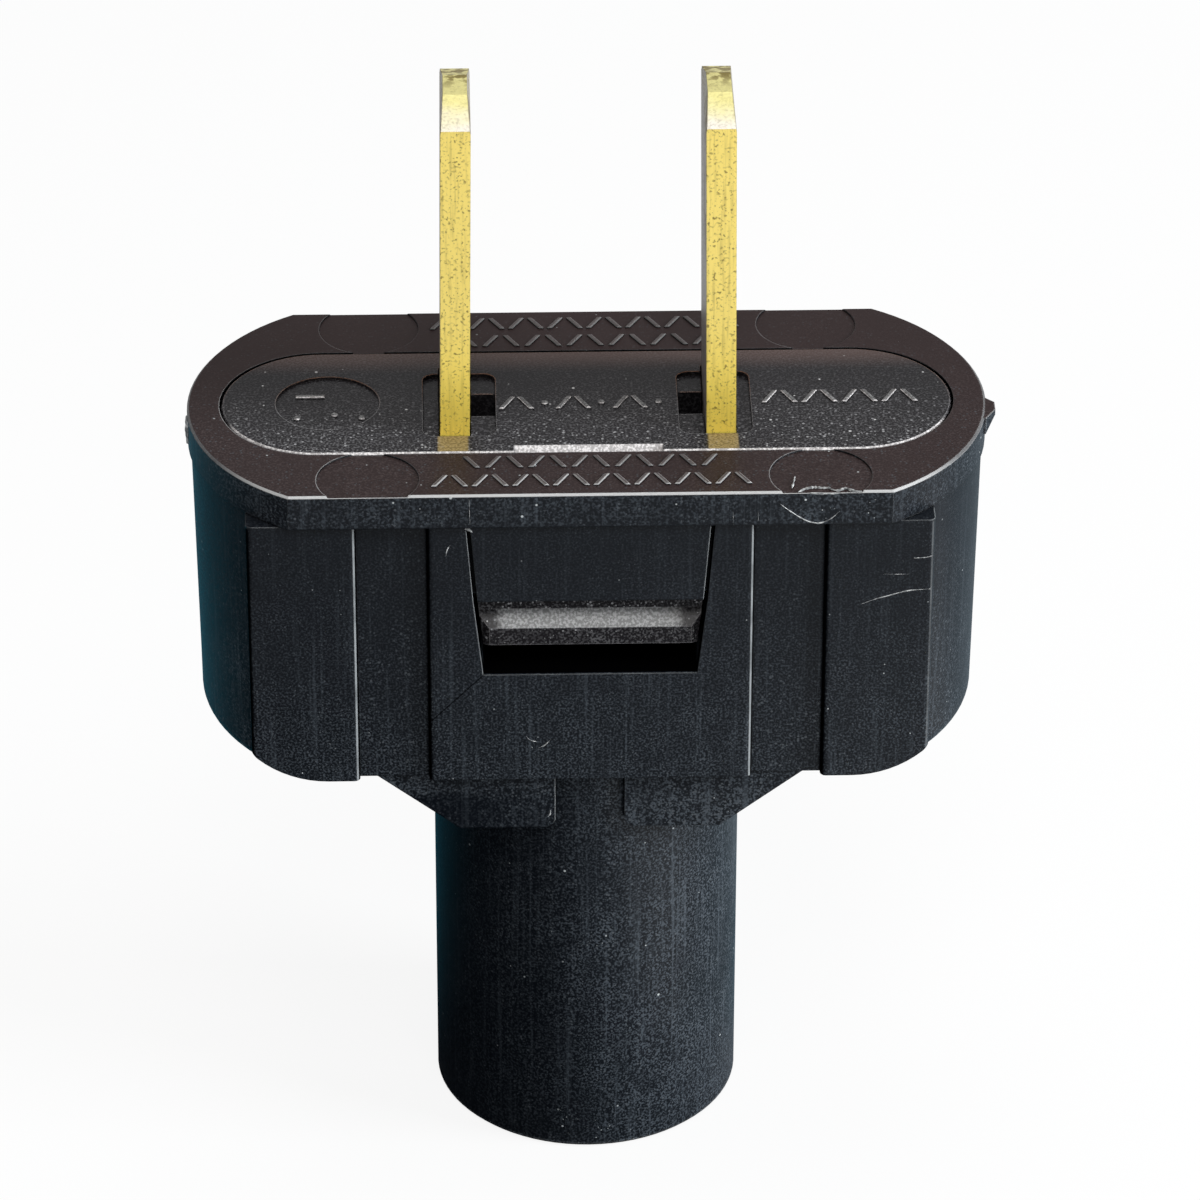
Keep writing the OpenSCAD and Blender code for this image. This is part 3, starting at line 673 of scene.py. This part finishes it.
def addRidge(shape, points, normal, width, height, ragged=0.3, steps=5):
    # a low raised line with a three-sided section, thin at both ends
    path = smoothPath(points, steps)
    normal = Vector(normal).normalized()
    before = None
    for index, place in enumerate(path):
        ahead = path[min(index + 1, len(path) - 1)] - path[max(index - 1, 0)]
        share = index / (len(path) - 1)
        full = math.sin(math.pi * min(max(share, 0.06), 0.94)) ** 0.4
        grow = full * (1 + ragged * random.uniform(-1, 1))
        turn = ridgeTurn(place, ahead, normal, width * grow, height * grow)
        if before is None:
            ring = bmesh.ops.create_circle(shape, segments=3, radius=1, matrix=turn)["verts"]
            edges = list({edge for corner in ring for edge in corner.link_edges})
            bmesh.ops.contextual_create(shape, geom=edges)
        else:
            moved = bmesh.ops.extrude_edge_only(shape, edges=edges)["geom"]
            corners = [item for item in moved if isinstance(item, bmesh.types.BMVert)]
            edges = [item for item in moved if isinstance(item, bmesh.types.BMEdge)]
            bmesh.ops.transform(shape, matrix=turn @ before.inverted(), verts=corners)
        before = turn
    bmesh.ops.contextual_create(shape, geom=edges)


# rows of raised slanting bars and pips
markSettings = {
    "barWidth": 0.24,
    "pipRadius": 0.17,
    "pipSides": 12,
    "lean": 0.28,        # how far a slanting bar's end lies from its middle along the row
    "height": 0.1,
    "chamfer": 0.05,
    # start and end of each row, its place front to back, the length of its bars, and its pattern
    "rimRows": [(-6.1, 6.2, 5.75, 1.0, ["fall", "rise"] * 6), (-7.6, 7.7, 7.45, 1.0, ["rise", "fall"] * 8)],
    "faceRows": [(-4.3, 3.9, -0.25, 1.1, ["rise", "fall", "pip"] * 3),
                 (8.3, 16.0, 0.1, 1.1, ["rise", "fall"] * 4)],
    # in the sunk disc
    "discDepth": 0.12,
    "discBar": (-13.3, 0.75, 1.4),
    "discPips": [(-13.9, -1.3), (-12.1, -1.0), (-10.8, -1.3)],
}


def easeTop(shape, corners, settings):
    topZ = max(corner.co.z for corner in corners)
    rim = {edge for corner in corners for edge in corner.link_edges
           if all(abs(end.co.z - topZ) < 0.001 * mm for end in edge.verts)}
    bmesh.ops.bevel(shape, geom=list(rim), affect="EDGES", offset=settings["chamfer"] * mm, segments=2,
                    profile=0.5, material=-1)


def addBar(shape, x, y, z, width, depth, lean, settings):
    tall = settings["height"] + sunkBy
    sheared = Matrix(((width, 2 * lean, 0), (0, depth, 0), (0, 0, tall))).to_4x4()
    middle = Vector((x, y, z + (settings["height"] - sunkBy) / 2))
    place = Matrix.Scale(mm, 4) @ Matrix.Translation(middle) @ sheared
    easeTop(shape, bmesh.ops.create_cube(shape, size=1, matrix=place)["verts"], settings)


def addPip(shape, x, y, z, settings):
    tall = settings["height"] + sunkBy
    middle = Vector((x, y, z + (settings["height"] - sunkBy) / 2))
    radius = settings["pipRadius"]
    corners = bmesh.ops.create_cone(shape, cap_ends=True, segments=settings["pipSides"], radius1=radius,
                                    radius2=radius, depth=tall,
                                    matrix=Matrix.Scale(mm, 4) @ Matrix.Translation(middle))["verts"]
    easeTop(shape, corners, settings)


def addMarkRow(shape, startX, endX, y, z, depth, pattern, settings):
    # spreads a repeating pattern of marks evenly along a row
    leans = {"rise": settings["lean"], "fall": -settings["lean"]}
    for index, kind in enumerate(pattern):
        x = startX + (endX - startX) * (index + 0.5) / len(pattern)
        if kind == "pip":
            addPip(shape, x, y, z, settings)
        else:
            addBar(shape, x, y, z, settings["barWidth"], depth, leans[kind], settings)


def addMarks(settings):
    rimMarks = bmesh.new()
    for side in (-1, 1):
        for startX, endX, y, depth, pattern in settings["rimRows"]:
            addMarkRow(rimMarks, startX, endX, side * y, faceZ, depth, pattern, settings)
    addPiece("rim_marks", rimMarks, highlitMarkHousing)
    faceMarks = bmesh.new()
    for startX, endX, y, depth, pattern in settings["faceRows"]:
        addMarkRow(faceMarks, startX, endX, y, faceZ, depth, pattern, settings)
    discZ = faceZ - settings["discDepth"]
    x, y, width = settings["discBar"]
    addBar(faceMarks, x, y, discZ, width, settings["barWidth"], 0, settings)
    for x, y in settings["discPips"]:
        addPip(faceMarks, x, y, discZ, settings)
    addPiece("face_marks", faceMarks, highlitMarkCarrier)


addMarks(markSettings)
print("raised marks made")


# scratches, burrs and torn edges, as lines on the surfaces
random.seed(11)
front = (0, -1, 0)
top = (0, 0, 1)
scratchSettings = {
    # surface normal, width, height, points in mm
    "padScratchUpper": (front, 0.12, 0.02, [(15.3, -padY, 35.1), (15.8, -padY, 35.12), (16.2, -padY, 35.2)]),
    "padScratchFaint": (front, 0.06, 0.01, [(13.9, -padY, 34.23), (14.5, -padY, 34.21),
                                            (15.13, -padY, 34.21)]),
    "padScratchCurved": (front, 0.13, 0.02, [(12.89, -padY, 32.56), (13.5, -padY, 32.82),
                                             (14.07, -padY, 32.99), (15.1, -padY, 33.28),
                                             (16.15, -padY, 33.36)]),
    "bandArc": (front, 0.13, 0.03, [(8.9, -flatY, 38.35), (9.37, -flatY, 37.95), (10.0, -flatY, 37.5),
                                    (10.45, -flatY, 37.3), (10.9, -flatY, 37.29), (11.36, -flatY, 37.54),
                                    (11.73, -flatY, 37.92)]),
    "bandLineLeft": (front, 0.06, 0.01, [(-5.73, -flatY, 38.85), (-5.72, -flatY, 38.2),
                                         (-5.7, -flatY, 37.4)]),
    "bandLineRight": (front, 0.05, 0.01, [(6.69, -flatY, 38.0), (6.7, -flatY, 37.6), (6.71, -flatY, 37.25)]),
    "bandLineOuter": (front, 0.05, 0.01, [(7.87, -flatY, 38.0), (7.88, -flatY, 37.7), (7.9, -flatY, 37.4)]),
    "rimHook": ((0.6, -0.8, 0), 0.1, 0.02, [(17.45, -5.0, 38.47), (17.55, -4.95, 38.75),
                                            (17.72, -4.9, 38.98)]),
    "blockScratch": (front, 0.12, 0.02, [(-6.65, -padY, 36.1), (-6.79, -padY, 35.84), (-6.85, -padY, 35.5)]),
    "scuffA": (front, 0.1, 0.02, [(-2.5, -padY, 24.6), (-2.19, -padY, 24.76), (-1.9, -padY, 25.1)]),
    "scuffB": (front, 0.09, 0.02, [(-3.1, -padY, 25.3), (-2.91, -padY, 25.06), (-2.6, -padY, 24.95)]),
    "gussetNick": (front, 0.12, 0.03, [(-2.05, -flangeY, 20.2), (-1.94, -flangeY, 20.35),
                                       (-1.92, -flangeY, 20.6)]),
    "grooveBurr": (front, 0.16, 0.04, [(-5.95, -padY, 37.0), (-5.75, -padY, 36.95), (-5.6, -padY, 36.8)]),
}


def addScratches(settings):
    shape = bmesh.new()
    for normal, width, height, points in settings.values():
        addRidge(shape, points, normal, width, height)
    addPiece("scratches", shape, scuffed)


burrSettings = {
    # torn flash along the rim's upper edge: normal, width, height, points in mm
    "leftFlash": ((-1, -0.2, 0), 0.4, 0.07, [(-rimX, -0.9, 38.9), (-rimX - 0.01, -1.0, 38.2),
                                             (-rimX, -1.1, 37.5)]),
    "chipOuter": ((0, -0.5, 0.8), 0.13, 0.04, [(9.75, -8.72, faceZ), (10.1, -8.42, faceZ),
                                               (10.5, -8.3, faceZ), (10.9, -8.36, faceZ),
                                               (11.3, -8.34, faceZ)]),
    "chipInner": ((0, -0.5, 0.8), 0.12, 0.04, [(11.2, -8.42, faceZ), (11.6, -8.62, faceZ),
                                               (12.0, -8.42, faceZ), (12.35, -8.66, faceZ),
                                               (12.75, -8.72, faceZ)]),
    "chipLip": ((0, -0.8, 0.5), 0.1, 0.03, [(10.3, -flatY, faceZ - 0.08), (11.2, -flatY, faceZ - 0.12),
                                            (12.2, -flatY, faceZ - 0.08)]),
    "chipTail": (top, 0.1, 0.02, [(9.47, -8.37, faceZ), (9.57, -7.82, faceZ), (9.66, -7.28, faceZ)]),
}


def addBurrs(settings):
    shape = bmesh.new()
    for normal, width, height, points in settings.values():
        addRidge(shape, points, normal, width, height, 0.5)
    addPiece("burrs", shape, scuffed)


addScratches(scratchSettings)
addBurrs(burrSettings)
print("wear made")
